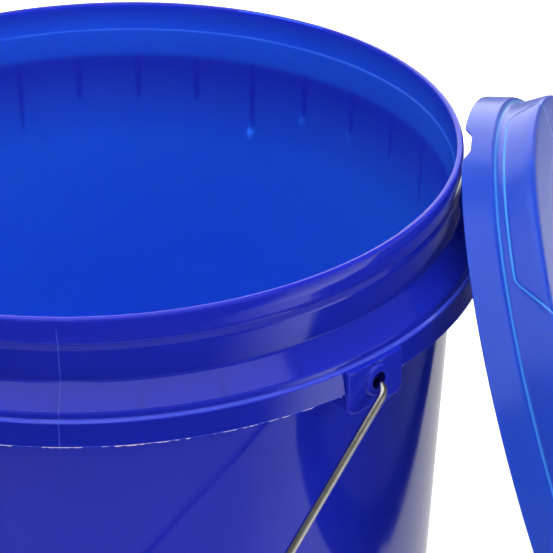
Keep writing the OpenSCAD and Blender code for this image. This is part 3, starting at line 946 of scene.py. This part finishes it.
# %% The gasket
foam, tree, surface = new_material("foam_rubber_cut")
place = add(tree, "ShaderNodeTexCoord").outputs["Object"]
cells = add(tree, "ShaderNodeTexVoronoi", None, {"Vector": place, "Scale": 1 / (0.8 * MM)})
dust = add(tree, "ShaderNodeTexNoise", None, {"Vector": place, "Scale": 1 / (12 * MM), "Detail": 3.0})
shade = add(tree, "ShaderNodeMix", {"data_type": "RGBA"}, {
    0: dust.outputs["Fac"], 6: linear("#dcdcd8"), 7: linear("#c2c1bb")})
rough = add(tree, "ShaderNodeMapRange", None, {
    "Value": cells.outputs["Distance"], "To Min": 0.95, "To Max": 0.75})
pits = add(tree, "ShaderNodeBump", None, {
    "Height": cells.outputs["Distance"], "Strength": 0.7, "Distance": 0.12 * MM})
rubber = add(tree, "ShaderNodeBsdfPrincipled", None, {
    "Base Color": shade.outputs[2], "Roughness": rough.outputs["Result"],
    "Normal": pits.outputs["Normal"], "IOR": 1.52})
tree.links.new(rubber.outputs["BSDF"], surface)
gasket_corners = [
    (146.4, 26.7, 0.2), (146.4, 24.6, 0.5), (147.0, 24.25, 0.5), (149.3, 24.25, 0.5), (149.9, 24.6, 0.5),
    (149.9, 26.7, 0.2)]
gasket_section = divided(rounded([(148, 26.75, 0)] + gasket_corners + [(148, 26.75, 0)], 4), 0.9)[:-1]
points, faces = turned(gasket_section, 480)
gasket = piece("lid_gasket_ring", points, faces, "lid", foam, lid_in)
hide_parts("lid_gasket")

# %% [markdown]
# The bucket stands on a wide white sheet that glows a little, like a lit acrylic table, so
# that it stays white beside the bucket. It is kept out of reflections, where the card of
# the next cell takes its place.

# %% Floor
acrylic, tree, surface = new_material("acrylic_sheet_matt_white")
place = add(tree, "ShaderNodeTexCoord").outputs["Object"]
dust = add(tree, "ShaderNodeTexNoise", None, {"Vector": place, "Scale": 40.0, "Detail": 4.0})
rough = add(tree, "ShaderNodeMapRange", None, {"Value": dust.outputs["Fac"], "To Min": 0.85, "To Max": 0.95})
sheet = add(tree, "ShaderNodeBsdfPrincipled", None, {
    "Base Color": linear("#f4f4f4"), "Roughness": rough.outputs["Result"],
    "Emission Color": linear("#ffffff"), "Emission Strength": 0.45, "Specular IOR Level": 0.1})
tree.links.new(sheet.outputs["BSDF"], surface)


def laid_flat(name, half, z, material):
    """A square sheet lying level at a height z, in metres."""
    mesh = bpy.data.meshes.new(name)
    corners = [(-half, -half, z), (half, -half, z), (half, half, z), (-half, half, z)]
    mesh.from_pydata(corners, [], [(0, 1, 2, 3)])
    mesh.materials.append(material)
    made = bpy.data.objects.new(name, mesh)
    bpy.context.scene.collection.objects.link(made)
    return made


FLOOR_HALF, FLOOR_Z = 9.0, -0.0005
floor = laid_flat("floor", FLOOR_HALF, FLOOR_Z, acrylic)
floor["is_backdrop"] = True
floor.visible_glossy = False
print("floor", 2 * FLOOR_HALF, "m wide")

# %% [markdown]
# Glossy plastic shows whatever lies around it. This card lies just over the sheet and is
# seen in reflections only, so its pattern shapes the shine and lights nothing else. It
# glows evenly close round the bucket. Further out it is dark in front and to the left, and
# bright behind and to the right, most of all far to the right.

# %% Reflection card
CARD_HALF, CARD_Z = 4.0, -0.0003
DARK_WAY, BRIGHT_WAY = math.radians(-72), math.radians(18)
card_glow, tree, surface = new_material("reflection_card")
place = add(tree, "ShaderNodeTexCoord").outputs["Object"]


def measured(operation, way=(0, 0, 0)):
    """How far a place on the card is from the bucket's axis, or how far it lies some way, in metres."""
    return add(tree, "ShaderNodeVectorMath", {"operation": operation}, {0: place, 1: way}).outputs["Value"]


def combined(operation, a, b):
    """Two values put together as the operation says."""
    return add(tree, "ShaderNodeMath", {"operation": operation}, {0: a, 1: b}).outputs["Value"]


from_axis = measured("LENGTH")
near = ramp(tree, from_axis, 0.40, 0.5, 0.42, 0.05)
dark_way = measured("DOT_PRODUCT", (math.cos(DARK_WAY), math.sin(DARK_WAY), 0))
bright_way = measured("DOT_PRODUCT", (math.cos(BRIGHT_WAY), math.sin(BRIGHT_WAY), 0))
back = ramp(tree, dark_way, 0.0, 0.3, 0.8, 0.0)
far_right = ramp(tree, bright_way, 0.4, 0.65, 1.0, 2.3)
fading = ramp(tree, from_axis, 0.85, 1.2, 1.0, 0.3)
side = combined("MULTIPLY", combined("MULTIPLY", back, far_right), fading)
glow = add(tree, "ShaderNodeEmission", None, {"Strength": combined("MAXIMUM", near, side)})
tree.links.new(glow.outputs["Emission"], surface)
card = laid_flat("reflection_card", CARD_HALF, CARD_Z, card_glow)
card.visible_camera = card.visible_diffuse = card.visible_transmission = card.visible_shadow = False
card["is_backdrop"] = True
print("reflection card", 2 * CARD_HALF, "m wide")

# %% [markdown]
# Four softboxes light the set. One overhead is mirrored in the shoulder and the lid, and a
# second overhead only fills in, as reflections don't see it. A large one at the back shines
# through the walls, and a small fill stands at the right. The air around is pale, brightest
# low down and dimmer above, so that upright skin mirrors more of it than level skin.


# %% Lights
def softbox(name, at, aim, size, watts):
    """A rectangular area light in metres, turned to face a point."""
    data = bpy.data.lights.new(name, "AREA")
    data.shape = "RECTANGLE"
    data.size, data.size_y = size
    data.energy = watts
    made = bpy.data.objects.new(name, data)
    bpy.context.scene.collection.objects.link(made)
    made.location = at
    made.visible_camera = False
    made.rotation_euler = (Vector(aim) - Vector(at)).to_track_quat("-Z", "Y").to_euler()
    return made


softbox("softbox overhead", (0.1, -0.35, 1.5), (0.1, -0.35, 0.2), (1.7, 1.6), 8.5)
fill = softbox("fill overhead", (0, 0, 1.6), (0, 0, 0.2), (1.6, 1.6), 38)
fill.visible_glossy = False
softbox("softbox back", (-1.3, 1.2, 0.9), (0, 0, 0.2), (2.0, 1.6), 15)
side_fill = softbox("fill right", (1.5, 0.3, 0.8), (0.1, 0.1, 0.15), (0.8, 1.0), 8)
side_fill.visible_glossy = False

world = bpy.data.worlds.new("studio")
bpy.context.scene.world = world
world.use_nodes = True
tree = world.node_tree
tree.nodes.clear()
direction = add(tree, "ShaderNodeTexCoord").outputs["Generated"]
parts = add(tree, "ShaderNodeSeparateXYZ", None, {"Vector": direction})
fade = ramp(tree, parts.outputs["Z"], 0.05, 0.5, 0.52, 0.12)
sky = add(tree, "ShaderNodeBackground", None, {"Color": (1, 1, 1, 1), "Strength": fade})
tree.links.new(sky.outputs["Background"], add(tree, "ShaderNodeOutputWorld").inputs["Surface"])

# %% [markdown]
# The camera looks down into the mouth from a little above, with a long lens. It is placed
# by its position and the direction it faces, and turned by one degree about its own axis.

# %% Camera
camera_data = bpy.data.cameras.new("camera")
camera_data.sensor_width = 36
camera_data.lens = 142.75
camera_data.clip_start, camera_data.clip_end = 0.01, 100
camera = bpy.data.objects.new("camera", camera_data)
bpy.context.scene.collection.objects.link(camera)
STANDS = (0.6577, -0.4974, 0.6836)
FACING, DOWN, ROLL, ROW_TURN = (math.radians(a) for a in (5.01, 29.08, -0.961, 52.9))
turn = Matrix.Rotation(ROW_TURN, 3, "Z")
forward = turn @ Vector((
    math.sin(FACING) * math.cos(DOWN), math.cos(FACING) * math.cos(DOWN), -math.sin(DOWN)))
right = turn @ Vector((math.cos(FACING), -math.sin(FACING), 0))
up = right.cross(forward)
right, up = math.cos(ROLL) * right + math.sin(ROLL) * up, -math.sin(ROLL) * right + math.cos(ROLL) * up
camera.matrix_world = Matrix([
    [right[k], up[k], -forward[k], STANDS[k]] for k in range(3)] + [[0, 0, 0, 1]])
bpy.context.scene.camera = camera
bpy.context.scene.view_settings.view_transform = "Standard"
print("camera", round(Vector(STANDS).length, 2), "m from the bucket's foot")

# %% [markdown]
# Last, the whole model is measured, and the corners of its box are printed.

# %% Measure and finish
low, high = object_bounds()
print("visual model from", tuple(round(v, 4) for v in low), "to", tuple(round(v, 4) for v in high))
